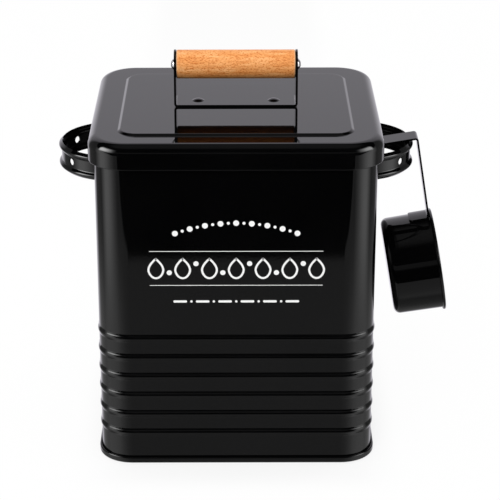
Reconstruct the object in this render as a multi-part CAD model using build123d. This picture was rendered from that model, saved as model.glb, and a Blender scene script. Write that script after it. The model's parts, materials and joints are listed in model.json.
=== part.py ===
"""Laundry powder tin: ribbed sheet body, lift-off lid with a wooden grip, side handles and a scoop.

Sizes are in millimetres. The origin is the middle of the base on the surface the tin stands on.
+Z is up, the front faces -Y, and the scoop hangs on the handle at +X.
"""
from build123d import *
import os

# Mid-line radius of a rolled edge and of a folded hem, for each millimetre between their layers
curl_bend = 0.45
tight_fold = 0.48

# Tin wall: outside sizes of the straight sides
wall_width = 192.0
wall_depth = 177.0
wall_corner = 22.5
wall_sheet = 0.6
rim_height = 234.6
rim_curl = 2.4
rib_count = 6
rib_first = 23.2
rib_pitch = 14.5
rib_tall = 5.2
rib_peak = 1.1
rib_bend = 3.2

# Base panel and the double seam that locks it to the wall
base_sheet = 0.6
base_lift = 4.0
base_margin = 6.0
seam_height = 4.4
seam_gap = 0.05
seam_slack = 0.4
seam_bend = 0.55

# Lid
lid_sheet = 0.6
lid_seat = 0.2
lid_clearance = 0.3
lid_edge = 7.0
lid_skirt = 17.3
lid_hem = 4.0
hem_gap = 0.1
lid_flat = 1.8
panel_side = 20.0
panel_front = 20.0
panel_back = 24.4
panel_corner = 13.0
panel_rise = 1.4
panel_slope = 2.0
panel_bend = 1.2

# Lid bracket, its rivets, the grip and its screws
strap_sheet = 1.5
strap_width = 22.0
strap_bend = 1.6
ear_span = 83.1
ear_above_grip = 0.2
grip_diameter = 20.0
grip_height = 27.9
grip_gap = 0.1
grip_round = 1.0
screw_shank = 4.0
screw_length = 20.0
screw_head = 8.4
screw_head_tall = 2.4
drive_length = 4.6
drive_width = 0.9
drive_deep = 1.3
rivet_spread = 53.0
rivet_shank = 3.2
rivet_head = 8.6
rivet_head_tall = 1.4
rivet_tail = 5.2
rivet_tail_tall = 0.8
fastener_gap = 0.1

# Side handles: stamped bands with a bead along each edge
handle_radius = 41.0
handle_reach = 30.1
handle_drop = 32.15
handle_tall = 17.8
handle_sheet = 0.8
bead_proud = 2.4
bead_edge = 2.4
bead_tall = 4.8
bead_bend = 1.3
edge_inset = 0.4
foot_length = 9.0
foot_tall = 12.0
foot_corner = 3.0
handle_hole = 4.8
handle_hole_angle = 39.0

# Scoop: a drawn cup on a strap that hooks over the right handle
scoop_mouth = 71.0
scoop_base = 70.0
scoop_depth = 37.5
scoop_sheet = 0.6
scoop_curl = 1.7
scoop_bend = 4.5
scoop_tilt = 9.5
hook_width = 16.0
hook_sheet = 1.4
hook_bend = 1.6
hook_leg = 61.6
hook_arm = 27.0
hook_foot = 14.0
hook_room = 5.6
hook_seat = 0.15
hook_corner = 2.5
hook_root = 10.0
weld_gap = 0.05

# The lid's skirt clears the rim's curl, and the inside of its rounded edge sits just above the curl
lid_offset = rim_curl + lid_clearance + 2 * lid_sheet + hem_gap
lid_width = wall_width + 2 * lid_offset
lid_depth = wall_depth + 2 * lid_offset
lid_corner = wall_corner + lid_offset
edge_inside = lid_edge - lid_sheet
curl_round = curl_bend * rim_curl + wall_sheet / 2
curl_shift = rim_curl - curl_round - lid_offset + lid_edge
curl_drop = ((edge_inside - curl_round - lid_seat) ** 2 - curl_shift**2) ** 0.5
lid_under = rim_height - curl_round - curl_drop + edge_inside
lid_top = lid_under + lid_sheet

# Other sizes that follow from the ones above
panel_top = lid_top + panel_rise
panel_middle = (panel_front - panel_back) / 2
strap_top = panel_top + strap_sheet
grip_axis = panel_top + grip_height
ear_outside = ear_span / 2 + strap_sheet
handle_middle = rim_height - handle_drop
handle_centre = wall_width / 2 + handle_reach - handle_radius
bead_middle = handle_radius - handle_sheet / 2
web_middle = bead_middle - bead_proud
edge_middle = web_middle - edge_inset
edge_run = ((bead_middle - edge_middle) ** 2 + bead_edge**2) ** 0.5
hang_inside = edge_middle - handle_sheet / 2 * bead_edge / edge_run
hang_top = handle_middle + handle_tall / 2 + handle_sheet / 2 * (bead_middle - edge_middle) / edge_run


def sheet_section(path, bends, thick):
    """Section of a sheet whose mid-line follows the path, with a mid-line bend radius at each corner."""
    points = [Vector(*point) for point in path]
    runs = [(end - start).normalized() for start, end in zip(points, points[1:])]
    normals = [Vector(-run.Y, run.X) for run in runs]

    def side(offset):
        corners = [points[0] + normals[0] * offset]
        radii = []
        for point, before, after, bend in zip(points[1:], normals, normals[1:], bends):
            corners.append(point + (before + after) * (offset / (1 + before.dot(after))))
            turn = before.cross(after).Z
            radii.append(bend - offset if turn > 0 else bend + offset)
        corners.append(points[-1] + normals[-1] * offset)
        return FilletPolyline(*corners, radius=radii)

    left = side(thick / 2)
    right = side(-thick / 2)
    return make_face([*left.edges(), Line(left @ 1, right @ 1), *right.edges(), Line(right @ 0, left @ 0)])


def curl(x, top, size):
    """Corners of an edge rolled outward at the top of an upright sheet."""
    return [(x, top), (x + size, top), (x + size, top - size), (x + size / 3, top - size)]


def around(section, width, depth, corner):
    """Carry a section round a rounded rectangle; its x is measured outward from that outline."""
    upright = Plane.XZ * Pos(corner, 0) * section
    pieces = []
    for turn in range(4):
        half_across = width / 2 - corner
        half_along = depth / 2 - corner
        if turn % 2:
            half_across, half_along = half_along, half_across
        run = Pos(half_across, -half_along) * extrude(upright, 2 * half_along, dir=(0, 1, 0))
        bend = Pos(half_across, half_along) * revolve(upright, Axis.Z, 90)
        pieces.extend([Rot(0, 0, 90 * turn) * run, Rot(0, 0, 90 * turn) * bend])
    return pieces


def plate(width, depth, corner, grow, low, thick):
    """Flat sheet whose edge lies outside a rounded rectangle by a distance, or inside if it is negative."""
    outline = RectangleRounded(width + 2 * grow, depth + 2 * grow, corner + grow)
    return Pos(0, 0, low) * extrude(outline, thick)


def joined(pieces):
    """One solid from pieces that share faces."""
    return pieces[0].fuse(*pieces[1:]).clean()


def tin_wall():
    """Bent sheet with a hook at its foot, rolled ribs and an outward curl at its rim."""
    middle = -wall_sheet / 2
    hook = middle + wall_sheet + base_sheet + 2 * seam_gap
    foot = base_sheet + seam_gap + wall_sheet / 2
    path = [(hook, seam_height - base_sheet - seam_slack), (hook, foot), (middle, foot)]
    bends = [seam_bend, seam_bend]
    for number in range(rib_count):
        crest = rib_first + number * rib_pitch
        half_tall = rib_tall / 2
        path.extend([(middle, crest - half_tall), (middle + rib_peak, crest), (middle, crest + half_tall)])
        bends.extend([rib_bend] * 3)
    path.extend(curl(middle, rim_height - wall_sheet / 2, rim_curl))
    bends.extend([curl_bend * rim_curl] * 3)
    section = sheet_section(path, bends, wall_sheet)
    return joined(around(section, wall_width, wall_depth, wall_corner))


def base_panel():
    """Pressed base whose edge passes under the wall's hook, up outside it and back down into it."""
    half = base_sheet / 2
    chuck = -wall_sheet - seam_gap - half
    cover = seam_gap + half
    outside = cover + base_sheet + wall_sheet + 2 * seam_gap
    top = seam_height - half
    path = [
        (-base_margin, base_lift + half),
        (chuck, base_lift + half),
        (chuck, half),
        (outside, half),
        (outside, top),
        (cover, top),
        (cover, base_sheet + seam_gap + wall_sheet + seam_slack),
    ]
    section = sheet_section(path, [2 * seam_bend, seam_bend, seam_bend, seam_bend, seam_bend], base_sheet)
    pieces = around(section, wall_width, wall_depth, wall_corner)
    pieces.append(plate(wall_width, wall_depth, wall_corner, -base_margin, base_lift, base_sheet))
    return joined(pieces)


def lid_shell():
    """Pressed lid: hemmed skirt, rounded edge, flat margin and a raised panel."""
    half = lid_sheet / 2
    fold = 3 * half + hem_gap
    hem_bend = tight_fold * (lid_sheet + hem_gap)
    low = lid_top - lid_skirt + half
    edge_inner = lid_edge + lid_flat
    path = [
        (-fold, low + lid_hem),
        (-fold, low),
        (-half, low),
        (-half, lid_top - half),
        (-edge_inner, lid_top - half),
    ]
    section = sheet_section(path, [hem_bend, hem_bend, lid_edge - half], lid_sheet)
    pieces = around(section, lid_width, lid_depth, lid_corner)

    panel = (lid_width - 2 * panel_side, lid_depth - panel_front - panel_back, panel_corner)
    place = Pos(0, panel_middle, 0)
    step_inner = panel_slope + lid_flat
    step = [
        (lid_flat, lid_top - half),
        (0, lid_top - half),
        (-panel_slope, panel_top - half),
        (-step_inner, panel_top - half),
    ]
    edges = around(sheet_section(step, [panel_bend, panel_bend], lid_sheet), *panel)
    pieces.extend(place * edge for edge in edges)

    margin = plate(lid_width, lid_depth, lid_corner, -edge_inner, lid_under, lid_sheet)
    pieces.append(margin - place * plate(*panel, lid_flat, lid_under, lid_sheet))
    pieces.append(place * plate(*panel, -step_inner, panel_top - lid_sheet, lid_sheet))
    shell = joined(pieces)
    for rivet in rivet_places():
        shell -= Pos(rivet, panel_middle, lid_top) * Cylinder(rivet_shank / 2 + fastener_gap, 4 * panel_rise)
    return shell


def rivet_places():
    """Left and right rivet positions along the bracket."""
    return [-rivet_spread / 2, rivet_spread / 2]


def lid_bracket():
    """Flat strap bent into a U, with rounded ears that hold the grip."""
    half = strap_sheet / 2
    ear = ear_span / 2 + half
    ear_top = grip_axis + grip_diameter / 2 + ear_above_grip
    low = panel_top + half
    path = [(-ear, ear_top), (-ear, low), (ear, low), (ear, ear_top)]
    section = Plane.XZ * sheet_section(path, [strap_bend, strap_bend], strap_sheet)
    strap = extrude(section, strap_width / 2, both=True)
    round_centre = ear_top - strap_width / 2
    outline = Pos(0, (panel_top + round_centre) / 2) * Rectangle(strap_width, round_centre - panel_top)
    outline += Pos(0, round_centre) * Circle(strap_width / 2)
    strap &= extrude(Plane.YZ * outline, ear_outside, both=True)
    screw_hole = Cylinder(screw_shank / 2 + fastener_gap, 2 * ear_outside, rotation=(0, 90, 0))
    strap -= Pos(0, 0, grip_axis) * screw_hole
    for rivet in rivet_places():
        strap -= Pos(rivet, 0, low) * Cylinder(rivet_shank / 2 + fastener_gap, 2 * strap_sheet)
    return Pos(0, panel_middle, 0) * strap


def wood_grip():
    """Turned dowel with eased ends and a pilot bore at each end."""
    length = ear_span - 2 * grip_gap
    dowel = Cylinder(grip_diameter / 2, length, rotation=(0, 90, 0))
    dowel = fillet(dowel.edges().filter_by(GeomType.CIRCLE), grip_round)
    bore_depth = screw_length + 1
    for side in (-1, 1):
        bore = Cylinder(screw_shank / 2 + fastener_gap, 2 * bore_depth, rotation=(0, 90, 0))
        dowel -= Pos(side * length / 2, 0, 0) * bore
    return Pos(0, panel_middle, grip_axis) * dowel


def dome_fastener(shank, length, head, head_tall):
    """Domed head standing on z = 0 with its shank below."""
    rise = head_tall
    dome_radius = ((head / 2) ** 2 + rise**2) / (2 * rise)
    dome = Pos(0, 0, rise - dome_radius) * Sphere(dome_radius)
    dome &= Pos(0, 0, rise / 2) * Box(head, head, rise)
    return dome + Pos(0, 0, -length / 2) * Cylinder(shank / 2, length)


def grip_screws():
    """Round-head screws with a cross drive, through both ears into the grip."""
    screw = dome_fastener(screw_shank, screw_length, screw_head, screw_head_tall)
    for turn in (0, 90):
        slot = Box(drive_length, drive_width, 2 * drive_deep)
        screw -= Pos(0, 0, screw_head_tall) * Rot(0, 0, turn) * slot
    right = Pos(ear_outside, panel_middle, grip_axis) * Rot(0, 90, 0) * screw
    return Compound(children=[mirror(right, Plane.YZ), right])


def bracket_rivets():
    """Dome rivets through the bracket and the lid, closed by a flat tail under the lid."""
    grip = strap_sheet + lid_sheet
    rivet = dome_fastener(rivet_shank, grip + rivet_tail_tall, rivet_head, rivet_head_tall)
    rivet += Pos(0, 0, -grip - rivet_tail_tall / 2) * Cylinder(rivet_tail / 2, rivet_tail_tall)
    return Compound(children=[Pos(place, panel_middle, strap_top) * rivet for place in rivet_places()])


def side_handle():
    """Right handle: a band with a bead along each edge, bent round to a foot at each end on the wall."""
    half = handle_sheet / 2
    tall = handle_tall / 2
    path = [
        (edge_middle, -tall),
        (bead_middle, bead_edge - tall),
        (web_middle, bead_tall - tall),
        (web_middle, tall - bead_tall),
        (bead_middle, tall - bead_edge),
        (edge_middle, tall),
    ]
    section = Plane.XZ * sheet_section(path, [bead_bend] * 4, handle_sheet)
    band = Rot(0, 0, -120) * revolve(section, Axis.Z, 240)
    wall_face = wall_width / 2 - handle_centre
    beyond = 2 * handle_radius
    band -= Pos(wall_face - beyond, 0, 0) * Box(2 * beyond, 2 * beyond, 2 * handle_tall)
    foot_start = (web_middle**2 - wall_face**2) ** 0.5 - half
    for side in (-1, 1):
        foot = RectangleRounded(foot_length, foot_tall, foot_corner)
        foot = Pos(side * (foot_start + foot_length / 2), 0) * foot
        band += extrude(Plane((wall_face, 0, 0), (0, 1, 0), (1, 0, 0)) * foot, handle_sheet)
    for side in (-1, 1):
        hole = Pos(web_middle, 0, 0) * Cylinder(handle_hole / 2, 4 * bead_proud, rotation=(0, 90, 0))
        band -= Rot(0, 0, side * handle_hole_angle) * hole
    return Pos(handle_centre, 0, handle_middle) * band


def scoop_radius(height):
    """Mid-line radius of the cup's wall at a height below its mouth, which is at zero."""
    share = -height / scoop_depth
    return (scoop_mouth + (scoop_base - scoop_mouth) * share - scoop_sheet) / 2


def hang(shape):
    """Place a scoop piece, made with its mouth up, on the right handle."""
    turn = Rot(0, 90 - scoop_tilt, 0)
    leg = scoop_leg_height()
    rest_point = Vector(-scoop_radius(leg) - scoop_sheet / 2 - hook_leg + hook_sheet, 0, leg - hook_room)
    edge_point = Vector(handle_centre + hang_inside, 0, hang_top + hook_seat)
    turned = (turn * Pos(rest_point)).position
    return Pos(edge_point - turned) * turn * shape


def scoop_leg_height():
    """Height of the strap's leg, just behind the cup's rolled rim."""
    return -scoop_curl - scoop_sheet - hook_sheet / 2 - weld_gap


def scoop_cup():
    """Drawn cup with a rounded base and an outward rolled rim."""
    half = scoop_sheet / 2
    low = -scoop_depth + half
    mouth = scoop_radius(0)
    path = [(0, low), (scoop_radius(low), low), *curl(mouth, -half, scoop_curl)]
    section = sheet_section(path, [scoop_bend, *[curl_bend * scoop_curl] * 3], scoop_sheet)
    return hang(revolve(Plane.XZ * section, Axis.Z, 360))


def scoop_strap():
    """Strap: a foot curved along the cup and welded to it, a leg and an arm that hooks over the handle."""
    leg = scoop_leg_height()
    off = (scoop_sheet + hook_sheet) / 2 + weld_gap
    foot_end = leg - hook_foot
    foot_top = -scoop_radius(leg) - off
    foot_path = [(-scoop_radius(foot_end) - off, foot_end), (foot_top, leg), (foot_top - hook_root, leg)]
    foot_section = Plane.XZ * sheet_section(foot_path, [hook_bend], hook_sheet)
    foot = Rot(0, 0, -30) * revolve(foot_section, Axis.Z, 60)
    outline = Pos(0, foot_end + hook_foot) * RectangleRounded(hook_width, 2 * hook_foot, hook_corner)
    foot &= extrude(Plane.YZ * outline, -scoop_mouth)

    top = -scoop_radius(leg) - scoop_sheet / 2 - hook_leg + hook_sheet / 2
    arm_path = [(foot_top - hook_root / 2, leg), (top, leg), (top, leg - hook_arm)]
    arm = extrude(Plane.XZ * sheet_section(arm_path, [hook_bend], hook_sheet), hook_width / 2, both=True)
    tip = arm.edges().filter_by(lambda edge: abs(edge.length - hook_sheet) < hook_sheet / 1000)
    arm = fillet(tip.sort_by(Axis.Z)[:2], hook_corner)
    return hang(joined([foot, arm]))


os.makedirs("parts", exist_ok=True)
right_handle = side_handle()
nodes = {
    "tin_wall": tin_wall(),
    "base_panel": base_panel(),
    "side_handle_right": right_handle,
    "side_handle_left": mirror(right_handle, Plane.YZ),
    "scoop_cup": scoop_cup(),
    "scoop_strap": scoop_strap(),
    "lid_shell": lid_shell(),
    "lid_bracket": lid_bracket(),
    "wood_grip": wood_grip(),
    "grip_screws": grip_screws(),
    "bracket_rivets": bracket_rivets(),
}
for name, shape in nodes.items():
    export_step(shape, f"parts/{name}.step")
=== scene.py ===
import json
import math

import bmesh
import bpy
from mathutils import Matrix, Vector

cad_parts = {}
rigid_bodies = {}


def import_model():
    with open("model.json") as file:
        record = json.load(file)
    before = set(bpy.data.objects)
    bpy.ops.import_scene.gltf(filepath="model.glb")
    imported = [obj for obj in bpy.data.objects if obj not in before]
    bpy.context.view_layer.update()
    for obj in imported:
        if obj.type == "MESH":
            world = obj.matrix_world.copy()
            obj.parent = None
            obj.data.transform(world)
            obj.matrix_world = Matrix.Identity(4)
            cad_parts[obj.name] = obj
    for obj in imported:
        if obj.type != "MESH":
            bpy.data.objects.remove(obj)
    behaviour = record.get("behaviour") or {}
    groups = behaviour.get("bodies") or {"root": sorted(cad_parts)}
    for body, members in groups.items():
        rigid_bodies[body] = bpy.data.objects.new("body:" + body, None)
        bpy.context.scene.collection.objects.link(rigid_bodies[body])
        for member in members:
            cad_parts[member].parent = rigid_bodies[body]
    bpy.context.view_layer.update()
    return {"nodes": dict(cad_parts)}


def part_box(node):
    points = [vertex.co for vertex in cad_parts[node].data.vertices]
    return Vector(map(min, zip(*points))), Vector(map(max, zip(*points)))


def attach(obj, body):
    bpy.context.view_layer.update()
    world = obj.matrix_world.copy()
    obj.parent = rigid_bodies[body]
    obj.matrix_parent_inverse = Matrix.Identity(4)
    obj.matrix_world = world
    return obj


# Camera, in metres and degrees
camera_place = (0, -1.2778, 0.649)
camera_down = 22.27
camera_roll = -0.11
camera_lens = 136.8
camera_sensor = 36
camera_shift = 0.0276

# Floor, which glows less in a fixed patch close in front of the tin: partly painted shade, partly letting
# the tin's real shadow show there
floor_width = 12
floor_drop = 0.0003
floor_tone = 0.94
floor_glow = 0.96
shadow_glow = 0.7
shadow_front = (-0.1345, -0.1045)
shadow_aside = (0.12, 0.08)

# Key lamp, for the wood and the print
key_place = (-0.3, -1.3, 1.5)
key_aim = (0, 0, 0.2)
key_size = 1.0
key_power = 15

# Even light on matt surfaces, from low to high. A height is the sine of the angle over the horizon.
matt_height = (-0.2, 0.8)
matt_bright = (0.05, 1.02)

# Walls that the gloss mirrors. A turn goes from 0 in front to 1 behind.
wall_behind = (0.71, 0.69, 0.745)
low_tones = [
    (0.0, 0.25),
    (0.05, 0.42),
    (0.17, 0.76),
    (0.3, 0.82),
    (0.5, 0.7),
    (0.62, 0.5),
    (0.8, 0.46),
    (0.91, wall_behind),
]
high_tones = [
    (0.0, 0.24),
    (0.09, 0.22),
    (0.16, 0.6),
    (0.25, 1.2),
    (0.33, 1.5),
    (0.42, 1.4),
    (0.53, 0.6),
    (0.6, 0.2),
    (0.84, 0.15),
    (0.91, wall_behind),
]
tone_change = (-0.425, -0.35)

# Dark table that the gloss mirrors, low behind and straight below
table_tone = 0.17
table_height = (-0.5, -0.8)
table_turn = (0.3, 0.7)
table_below = (-0.86, -0.95)

# Gain of the wall behind, from straight down at 0 to straight up at 1, and its share on the right
horizon_gain = [
    (0.35, 1.35),
    (0.53, 1.45),
    (0.6, 1.12),
    (0.635, 0.92),
    (0.665, 1.0),
]
horizon_turn = (0.85, 0.93)
horizon_side = (-0.15, 0.15)
horizon_right = 0.5

# Dark ceiling that the gloss mirrors, with an edge that is low in front and rises behind and to the sides
ceiling_tone = 0.004
ceiling_leak = 0.01
ceiling_soft = 0.002
ceiling_front = 0.4145
ceiling_behind = 1.2
ceiling_side = 0.35
ceiling_side_start = 0.4

# Lamps that the gloss mirrors: one on each side, a strip low in front and one overhead
side_bright = (10, 6)
side_across = (-0.2, 0.2)
side_rise = (0.02, 0.32)
side_fall = (0.72, 0.5)
side_turn_rise = (0.06, 0.36)
side_turn_fall = (0.52, 0.43)
strip_bright = 0.11
strip_rise = (0.1, 0.2)
strip_fall = (0.35, 0.325)
strip_turn = (0.12, 0.04)
overhead_bright = 0.12
overhead_rise = (0.82, 0.97)

# Finishes: the size of each one's grain, then the wood's streaks, pores, pale ends and the painted shade
# that darkens its mirror image
grain_range = (0.3, 0.7)
paint_grain = 0.0016
wood_grain = 0.0008
metal_grain = 0.0006
ink_grain = 0.0005
streak_stretch = (45, 420, 420)
pore_stretch = (700, 2000, 2000)
pore_range = (0.51, 0.63)
pore_tint = (0.69, 0.36, 0.03, 1)
eased_end = 0.0012
eased_tint = (0.95, 0.57, 0.3, 1)
mirror_shade_tint = (0.34, 0.24, 0.08, 1)

# Print on the front wall
front_wall = -0.0885
ink_thick = 0.00006
ink_sunk = 0.00002
rule_length = 0.118
rule_thick = 0.0004
rule_high = 0.161
rule_low = 0.136
motif_tall = 0.0158
motif_stroke = 0.0014
motif_pitch = 0.0182
motif_count = 7
drop_shoulder = 0.4
drop_belly = 0.74
drop_neck = 0.8024
drop_taper = 2.2
bubble_size = 0.0036
bubble_lifts = (-0.2, 0.22)
arc_radius = 0.118
arc_top = 0.1815
arc_dots = 17
arc_spread = 41
arc_dot = 0.0021
arc_large = 1.9
row_high = 0.124
row_length = 0.092
row_dashes = 6
row_dash = 0.0094
row_thick = 0.0017
disc_sides = 28
bar_sides = 24
drop_sides = 48


def clear_stage():
    """Takes away what a new file starts with."""
    for thing in list(bpy.data.objects):
        bpy.data.objects.remove(thing)


def put_camera():
    """A long lens in front of the tin, looking down at it."""
    view = bpy.data.cameras.new("camera")
    view.lens = camera_lens
    view.sensor_width = camera_sensor
    view.shift_x = camera_shift
    view.dof.use_dof = False
    camera = bpy.data.objects.new("camera", view)
    bpy.context.scene.collection.objects.link(camera)
    turn = Matrix.Rotation(math.radians(90 - camera_down), 4, "X")
    roll = Matrix.Rotation(math.radians(camera_roll), 4, "Z")
    camera.matrix_world = Matrix.Translation(camera_place) @ turn @ roll
    bpy.context.scene.camera = camera


# Nodes


def add(tree, kind, **settings):
    """A node of that kind, with its settings."""
    node = tree.nodes.new(kind)
    for name, value in settings.items():
        setattr(node, name, value)
    return node


def feed(tree, socket, source):
    """Gives a socket a value or another node's output."""
    if isinstance(source, bpy.types.NodeSocket):
        tree.links.new(source, socket)
    else:
        socket.default_value = source


def calc(tree, operation, *sources):
    """One step of arithmetic."""
    node = add(tree, "ShaderNodeMath", operation=operation)
    for socket, source in zip(node.inputs, sources):
        feed(tree, socket, source)
    return node.outputs[0]


def spread(tree, source, low, high, to_low=0.0, to_high=1.0):
    """A value carried smoothly from one range to another, and held at its ends."""
    node = add(tree, "ShaderNodeMapRange", interpolation_type="SMOOTHSTEP")
    feed(tree, node.inputs["Value"], source)
    for name, value in zip(("From Min", "From Max", "To Min", "To Max"), (low, high, to_low, to_high)):
        feed(tree, node.inputs[name], value)
    return node.outputs["Result"]


def band(tree, source, rise, fall):
    """1 in the middle of a value's range, falling softly to 0 on both sides."""
    return calc(tree, "MULTIPLY", spread(tree, source, *rise), spread(tree, source, *fall))


def grey(tone):
    return (tone, tone, tone, 1)


def ramp(tree, source, stops):
    """A run of colours along a value. A stop has a place and a colour, or one number for a grey."""
    node = add(tree, "ShaderNodeValToRGB")
    elements = node.color_ramp.elements
    while len(elements) < len(stops):
        elements.new(0.5)
    for element, (place, colour) in zip(elements, stops):
        element.position = place
        element.color = (*colour, 1) if isinstance(colour, tuple) else grey(colour)
    feed(tree, node.inputs["Fac"], source)
    return node.outputs["Color"]


def blend(tree, share, first, second, kind="MIX"):
    """The first colour with a share of the second mixed in, or worked into it in that kind."""
    node = add(tree, "ShaderNodeMix", data_type="RGBA", blend_type=kind)
    feed(tree, node.inputs["Factor"], share)
    feed(tree, node.inputs[6], first)
    feed(tree, node.inputs[7], second)
    return node.outputs[2]


def noise(tree, place, scale, detail, rough):
    """A cloudy pattern."""
    node = add(tree, "ShaderNodeTexNoise")
    feed(tree, node.inputs["Vector"], place)
    feed(tree, node.inputs["Scale"], scale)
    feed(tree, node.inputs["Detail"], detail)
    feed(tree, node.inputs["Roughness"], rough)
    return node.outputs["Fac"]


def stretched(tree, place, scale):
    """A place with each of its axes scaled, for a pattern that runs one way."""
    node = add(tree, "ShaderNodeMapping")
    feed(tree, node.inputs["Vector"], place)
    feed(tree, node.inputs["Scale"], scale)
    return node.outputs["Vector"]


def raise_grain(tree, shader, height, strength, depth):
    """Lets a pattern stand out of the surface."""
    bump = add(tree, "ShaderNodeBump")
    feed(tree, bump.inputs["Strength"], strength)
    feed(tree, bump.inputs["Distance"], depth)
    feed(tree, bump.inputs["Height"], height)
    feed(tree, shader.inputs["Normal"], bump.outputs["Normal"])


def object_place(tree):
    return add(tree, "ShaderNodeTexCoord").outputs["Object"]


def axes_of(tree, vector):
    """The three parts of a vector."""
    node = add(tree, "ShaderNodeSeparateXYZ")
    feed(tree, node.inputs[0], vector)
    return node.outputs


def new_group(name, inputs, outputs):
    """An empty shader group and its two ends. Each socket is a name, a kind and, for an input, a value."""
    tree = bpy.data.node_groups.new(name, "ShaderNodeTree")
    for label, kind, value in inputs:
        socket = tree.interface.new_socket(label, in_out="INPUT", socket_type=kind)
        socket.default_value = value
    for label, kind in outputs:
        tree.interface.new_socket(label, in_out="OUTPUT", socket_type=kind)
    return tree, add(tree, "NodeGroupInput"), add(tree, "NodeGroupOutput")


def use_grain(tree, group, place, size):
    """The grain group as a node, at a place and with a size."""
    node = add(tree, "ShaderNodeGroup", node_tree=group)
    feed(tree, node.inputs["Place"], place)
    feed(tree, node.inputs["Size"], size)
    return node


def new_material(name, **constants):
    """A material with one main shader, whose plain sockets are set here."""
    material = bpy.data.materials.new(name)
    material.use_nodes = True
    tree = material.node_tree
    shader = tree.nodes["Principled BSDF"]
    for label, value in constants.items():
        feed(tree, shader.inputs[label], value)
    return material, tree, shader


# Studio


def mirrored_walls(tree, across, up, turn):
    """Grey walls all round over a dark table, with more light at the horizon behind."""
    low = ramp(tree, turn, low_tones)
    high = ramp(tree, turn, high_tones)
    walls = blend(tree, spread(tree, up, *tone_change), low, high)
    table = calc(tree, "MULTIPLY", spread(tree, up, *table_height), spread(tree, turn, *table_turn))
    table = calc(tree, "MAXIMUM", table, spread(tree, up, *table_below))
    walls = blend(tree, table, walls, grey(table_tone))
    right = spread(tree, across, *horizon_side, 1.0, horizon_right)
    behind = calc(tree, "MULTIPLY", spread(tree, turn, *horizon_turn), right)
    gain = ramp(tree, calc(tree, "MULTIPLY_ADD", up, 0.5, 0.5), horizon_gain)
    return blend(tree, behind, walls, gain, "MULTIPLY")


def under_ceiling(tree, across, back, up):
    """1 below the ceiling's edge, and next to nothing above it."""
    ahead = calc(tree, "MULTIPLY", calc(tree, "MINIMUM", back, 0.0), ceiling_front)
    behind = calc(tree, "MULTIPLY", calc(tree, "MAXIMUM", back, 0.0), ceiling_behind)
    aside = calc(tree, "SUBTRACT", calc(tree, "ABSOLUTE", across), ceiling_side_start)
    aside = calc(tree, "MULTIPLY", calc(tree, "MAXIMUM", aside, 0.0), ceiling_side)
    edge = calc(tree, "ADD", calc(tree, "ADD", ahead, behind), aside)
    return spread(tree, calc(tree, "SUBTRACT", edge, up), -ceiling_soft, ceiling_soft, ceiling_leak, 1.0)


def mirrored_lamps(tree, across, up, turn):
    """The light of the two side lamps, the strip and the one overhead."""
    side_tall = band(tree, up, side_rise, side_fall)
    side_wide = band(tree, turn, side_turn_rise, side_turn_fall)
    sides = calc(tree, "MULTIPLY", side_tall, side_wide)
    sides = calc(tree, "MULTIPLY", sides, spread(tree, across, *side_across, *side_bright))
    strip_wide = spread(tree, turn, *strip_turn, 0.0, strip_bright)
    strip = calc(tree, "MULTIPLY", band(tree, up, strip_rise, strip_fall), strip_wide)
    overhead = spread(tree, up, *overhead_rise, 0.0, overhead_bright)
    return calc(tree, "ADD", sides, calc(tree, "ADD", strip, overhead))


def studio_world():
    """White to the camera, even light for matt surfaces, and walls, ceiling and lamps for the gloss."""
    world = bpy.data.worlds.new("studio")
    world.use_nodes = True
    tree = world.node_tree
    tree.nodes.clear()
    across, back, up = axes_of(tree, add(tree, "ShaderNodeTexCoord").outputs["Generated"])
    # A little over 1, so that straight up and straight down have a turn too
    flat = calc(tree, "SQRT", calc(tree, "SUBTRACT", 1.0001, calc(tree, "POWER", up, 2.0)))
    turn = calc(tree, "MULTIPLY_ADD", calc(tree, "DIVIDE", back, flat), 0.5, 0.5)
    walls = mirrored_walls(tree, across, up, turn)
    gloss = blend(tree, under_ceiling(tree, across, back, up), grey(ceiling_tone), walls)
    gloss = blend(tree, 1.0, gloss, mirrored_lamps(tree, across, up, turn), "ADD")
    matt = spread(tree, up, *matt_height, *matt_bright)
    ray = add(tree, "ShaderNodeLightPath")
    cast = blend(tree, ray.outputs["Is Glossy Ray"], matt, gloss)
    light = add(tree, "ShaderNodeBackground")
    feed(tree, light.inputs["Color"], blend(tree, ray.outputs["Is Camera Ray"], cast, grey(1)))
    out = add(tree, "ShaderNodeOutputWorld")
    feed(tree, out.inputs["Surface"], light.outputs[0])
    bpy.context.scene.world = world


def white_floor():
    """White paper that glows to the camera, but less in a fixed patch in front of the tin, which paints
    shade there and lets the tin's real shadow show.
    """
    material = bpy.data.materials.new("white_floor")
    material.use_nodes = True
    tree = material.node_tree
    tree.nodes.clear()
    paper = add(tree, "ShaderNodeBsdfDiffuse")
    feed(tree, paper.inputs["Color"], grey(floor_tone))
    glow = add(tree, "ShaderNodeEmission")
    seen = add(tree, "ShaderNodeLightPath").outputs["Is Camera Ray"]
    both = add(tree, "ShaderNodeMixShader")
    place = axes_of(tree, object_place(tree))
    # Painted shade: a fixed patch in front of the tin's foot where the floor glows less, so it is darker
    # there and shows more of the real shadow
    close = spread(tree, place["Y"], *shadow_front)
    aside = spread(tree, calc(tree, "ABSOLUTE", place["X"]), *shadow_aside)
    shadow = calc(tree, "MULTIPLY", close, aside)
    share = calc(tree, "MULTIPLY_ADD", shadow, shadow_glow - floor_glow, floor_glow)
    feed(tree, both.inputs[0], calc(tree, "MULTIPLY", seen, share))
    feed(tree, both.inputs[1], paper.outputs[0])
    feed(tree, both.inputs[2], glow.outputs[0])
    out = add(tree, "ShaderNodeOutputMaterial")
    feed(tree, out.inputs["Surface"], both.outputs[0])
    return material


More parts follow.
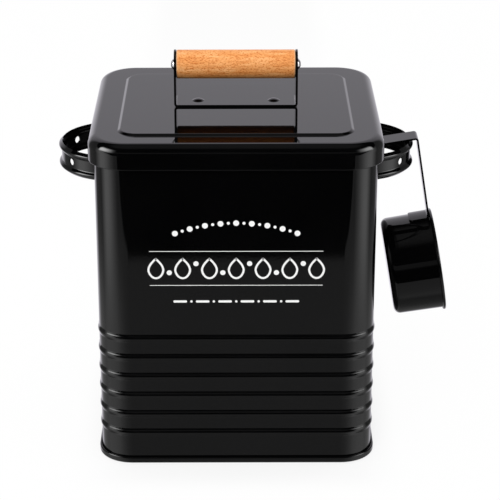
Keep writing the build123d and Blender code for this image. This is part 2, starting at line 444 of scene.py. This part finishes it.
def put_floor():
    """A wide floor just under the tin."""
    mesh = bpy.data.meshes.new("floor")
    shape = bmesh.new()
    bmesh.ops.create_grid(shape, x_segments=1, y_segments=1, size=floor_width / 2)
    bmesh.ops.translate(shape, verts=shape.verts, vec=(0, 0, -floor_drop))
    shape.to_mesh(mesh)
    shape.free()
    floor = bpy.data.objects.new("floor", mesh)
    bpy.context.scene.collection.objects.link(floor)
    floor.visible_glossy = False
    mesh.materials.append(white_floor())


def put_key_lamp():
    """A soft square lamp whose own shape doesn't show in the gloss."""
    light = bpy.data.lights.new("key_lamp", "AREA")
    light.size = key_size
    light.energy = key_power
    lamp = bpy.data.objects.new("key_lamp", light)
    bpy.context.scene.collection.objects.link(lamp)
    lamp.location = key_place
    lamp.rotation_euler = (Vector(key_aim) - Vector(key_place)).to_track_quat("-Z", "Y").to_euler()
    lamp.visible_glossy = False
    lamp.visible_camera = False


# Finishes


def surface_grain_group():
    """Fine waviness of a sprayed or worked surface: a height and a slow patchiness."""
    tree, start, end = new_group(
        "surface_grain",
        [("Place", "NodeSocketVector", (0, 0, 0)), ("Size", "NodeSocketFloat", 0.001)],
        [("Height", "NodeSocketFloat"), ("Patch", "NodeSocketFloat")],
    )
    place = start.outputs["Place"]
    fine = calc(tree, "DIVIDE", 1.0, start.outputs["Size"])
    feed(tree, end.inputs["Height"], noise(tree, place, fine, 2.0, 0.45))
    feed(tree, end.inputs["Patch"], noise(tree, place, calc(tree, "MULTIPLY", fine, 0.03), 3.0, 0.5))
    return tree


def black_paint(grain):
    """Deep gloss black enamel on sheet steel."""
    material, tree, shader = new_material("black_paint", IOR=1.5)
    spray = use_grain(tree, grain, object_place(tree), paint_grain)
    patch = spray.outputs["Patch"]
    tone = ramp(tree, patch, [(0.3, (0.0007, 0.0007, 0.0008)), (0.7, (0.0013, 0.0013, 0.0014))])
    feed(tree, shader.inputs["Base Color"], tone)
    feed(tree, shader.inputs["Roughness"], spread(tree, patch, *grain_range, 0.02, 0.035))
    raise_grain(tree, shader, spray.outputs["Height"], 0.02, 0.0001)
    return material


def grip_wood(grain, grip_end):
    """Orange-tan turned wood with fine dark pores along it, pale eased ends and painted shade that darkens
    its mirror image.
    """
    material, tree, shader = new_material("grip_wood", IOR=1.45)
    place = object_place(tree)
    streak = noise(tree, stretched(tree, place, streak_stretch), 1.0, 4.0, 0.6)
    pore = noise(tree, stretched(tree, place, pore_stretch), 1.0, 2.0, 0.6)
    colour = ramp(tree, streak, [
        (0.3, (0.76, 0.27, 0.058)),
        (0.5, (0.89, 0.39, 0.125)),
        (0.7, (0.97, 0.51, 0.215)),
    ])
    colour = blend(tree, spread(tree, pore, *pore_range), colour, pore_tint, "MULTIPLY")
    from_middle = calc(tree, "ABSOLUTE", axes_of(tree, place)["X"])
    at_end = spread(tree, from_middle, grip_end - eased_end, grip_end - eased_end / 3)
    colour = blend(tree, at_end, colour, eased_tint)
    # Painted shade: the wood is darker where seen in a mirror, standing in for its shaded underside in the
    # lid
    in_mirror = add(tree, "ShaderNodeLightPath").outputs["Is Glossy Ray"]
    colour = blend(tree, in_mirror, colour, mirror_shade_tint, "MULTIPLY")
    feed(tree, shader.inputs["Base Color"], colour)
    feel = use_grain(tree, grain, place, wood_grain)
    feed(tree, shader.inputs["Roughness"], spread(tree, feel.outputs["Patch"], *grain_range, 0.42, 0.58))
    raise_grain(tree, shader, pore, 0.08, 0.0002)
    return material


def screw_metal(grain):
    """Bright plated steel, a little uneven in tone and polish."""
    material, tree, shader = new_material("screw_metal", Metallic=1.0)
    wear = use_grain(tree, grain, object_place(tree), metal_grain)
    tone = ramp(tree, wear.outputs["Patch"], [(0.3, (0.72, 0.72, 0.73)), (0.7, (0.86, 0.86, 0.87))])
    feed(tree, shader.inputs["Base Color"], tone)
    feed(tree, shader.inputs["Roughness"], spread(tree, wear.outputs["Height"], *grain_range, 0.12, 0.24))
    return material


def white_ink(grain):
    """Screen-printed white with a faint mottle."""
    material, tree, shader = new_material("white_ink", IOR=1.45)
    mottle = use_grain(tree, grain, object_place(tree), ink_grain)
    tone = ramp(tree, mottle.outputs["Height"], [(0.3, (0.8, 0.8, 0.79)), (0.7, (0.88, 0.88, 0.87))])
    feed(tree, shader.inputs["Base Color"], tone)
    feed(tree, shader.inputs["Roughness"], spread(tree, mottle.outputs["Patch"], *grain_range, 0.35, 0.5))
    return material


# Print


def flat_disc(shape, size):
    """A filled round spot, flat on the ground plane."""
    made = bmesh.ops.create_circle(shape, cap_ends=True, segments=disc_sides, radius=size / 2)
    return made["verts"]


def flat_bar(shape, length, thick):
    """A straight bar with rounded ends."""
    made = bmesh.ops.create_circle(shape, cap_ends=True, segments=bar_sides, radius=thick / 2)
    for corner in made["verts"]:
        corner.co.x += math.copysign((length - thick) / 2, corner.co.x)
    return made["verts"]


def flat_drop(shape, tall):
    """The outline of a water drop: a round spot drawn up to a point, with its middle taken out."""
    made = bmesh.ops.create_circle(shape, cap_ends=True, segments=drop_sides, radius=0.5)
    for corner in made["verts"]:
        rise = corner.co.y + 0.5
        if rise > drop_shoulder:
            corner.co.x *= drop_neck * (1 - rise ** drop_taper) ** 0.5
        else:
            corner.co.x *= drop_belly
    bmesh.ops.scale(shape, verts=made["verts"], vec=(tall, tall, 1))
    shape.normal_update()
    middle = made["verts"][0].link_faces[:]
    rim = bmesh.ops.inset_region(
        shape, faces=middle, thickness=motif_stroke, use_boundary=True, use_even_offset=True,
    )
    bmesh.ops.delete(shape, geom=middle, context="FACES_ONLY")
    return list({corner for face in rim["faces"] for corner in face.verts})


def set_down(shape, corners, across, high):
    """Puts a flat mark in its place on the print."""
    bmesh.ops.translate(shape, verts=corners, vec=(across, high, 0))


def in_a_row(count, pitch):
    """Places along a row with its middle at 0."""
    return [(step - (count - 1) / 2) * pitch for step in range(count)]


def finish_print(name, shape, front, material):
    """Gives the flat marks their thickness, stands them on the front wall and makes them a piece."""
    bmesh.ops.remove_doubles(shape, verts=shape.verts, dist=1e-7)
    grown = bmesh.ops.extrude_face_region(shape, geom=shape.faces[:], use_keep_orig=True)
    risen = [part for part in grown["geom"] if isinstance(part, bmesh.types.BMVert)]
    bmesh.ops.translate(shape, verts=risen, vec=(0, 0, ink_thick + ink_sunk))
    bmesh.ops.recalc_face_normals(shape, faces=shape.faces)
    bmesh.ops.rotate(shape, verts=shape.verts, cent=(0, 0, 0), matrix=Matrix.Rotation(math.pi / 2, 3, "X"))
    bmesh.ops.translate(shape, verts=shape.verts, vec=(0, front + ink_sunk, 0))
    mesh = bpy.data.meshes.new(name)
    shape.to_mesh(mesh)
    shape.free()
    piece = bpy.data.objects.new(name, mesh)
    bpy.context.scene.collection.objects.link(piece)
    mesh.materials.append(material)
    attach(piece, "tin")


def print_rules(front, ink):
    """Two thin rules above and below the middle row."""
    shape = bmesh.new()
    for high in (rule_high, rule_low):
        set_down(shape, flat_bar(shape, rule_length, rule_thick), 0, high)
    finish_print("print_rules", shape, front, ink)


def print_drops(front, ink):
    """A row of water drops with a small bubble between each two."""
    shape = bmesh.new()
    middle = (rule_high + rule_low) / 2
    for across in in_a_row(motif_count, motif_pitch):
        set_down(shape, flat_drop(shape, motif_tall), across, middle)
    for step, across in enumerate(in_a_row(motif_count - 1, motif_pitch)):
        lift = motif_tall * bubble_lifts[step % 2]
        set_down(shape, flat_disc(shape, bubble_size), across, middle + lift)
    finish_print("print_drops", shape, front, ink)


def print_arc(front, ink):
    """A shallow arc of large and small spots over the rules."""
    shape = bmesh.new()
    for step in range(arc_dots):
        share = 2 * step / (arc_dots - 1) - 1
        lean = math.radians(arc_spread / 2) * share
        size = arc_dot * (1.0 if step % 2 else arc_large)
        across = arc_radius * math.sin(lean)
        high = arc_top - arc_radius * (1 - math.cos(lean))
        set_down(shape, flat_disc(shape, size), across, high)
    finish_print("print_arc", shape, front, ink)


def print_row(front, ink):
    """A small row of dashes and spots under the rules."""
    shape = bmesh.new()
    pitch = row_length / row_dashes
    for across in in_a_row(row_dashes, pitch):
        set_down(shape, flat_bar(shape, row_dash, row_thick), across, row_high)
    for across in in_a_row(row_dashes - 1, pitch):
        set_down(shape, flat_disc(shape, row_thick), across, row_high)
    finish_print("print_row", shape, front, ink)


clear_stage()
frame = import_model()

bpy.context.scene.view_settings.view_transform = "Standard"
put_camera()
studio_world()
put_floor()
put_key_lamp()

grain = surface_grain_group()
finishes = {
    "black_paint": black_paint(grain),
    "grip_wood": grip_wood(grain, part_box("wood_grip")[1].x),
    "screw_metal": screw_metal(grain),
}
for node in frame["nodes"].values():
    for slot in node.material_slots:
        slot.material = finishes[slot.material.name.split(".")[0]]

ink = white_ink(grain)
print_rules(front_wall, ink)
print_drops(front_wall, ink)
print_arc(front_wall, ink)
print_row(front_wall, ink)
